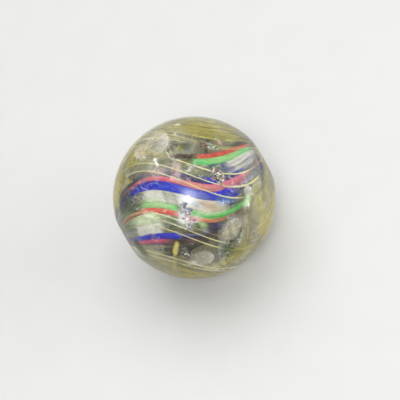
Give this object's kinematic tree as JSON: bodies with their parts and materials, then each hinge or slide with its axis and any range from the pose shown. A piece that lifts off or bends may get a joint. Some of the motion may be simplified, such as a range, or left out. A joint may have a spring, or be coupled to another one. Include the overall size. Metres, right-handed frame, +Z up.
{
  "type": "glass marble",
  "caption": "Handmade clear glass swirl marble, with a twisted core of coloured ribbons, an outer cage of yellow strands and small impact chips.",
  "frame": {"origin": "centre of the ball", "axes": "+X along the pole axis, from the rough pontil pole to the plain pole; +Z up; the middle of the visible ribbon panel faces up and forward, between +Z and -Y"},
  "size_m": [0.0216, 0.0222, 0.0222],
  "materials": {
    "clear_glass": "polished, with fine scratches, and frosted in the chips",
    "white_glass": "opaque white glass thread, glossy",
    "blue_glass": "deep blue glass, glossy",
    "green_glass": "bright green glass, glossy",
    "red_glass": "brick red glass, glossy",
    "pink_glass": "translucent pink glass, glossy",
    "yellow_glass": "pale yellow glass thread, glossy"
  },
  "bodies": {
    "root": {"clear_glass": "clear_glass", "white_ribbons": "white_glass", "blue_ribbons": "blue_glass", "green_ribbons": "green_glass", "red_ribbons": "red_glass", "pink_ribbons": "pink_glass", "yellow_strands": "yellow_glass"}
  },
  "joints": []
}
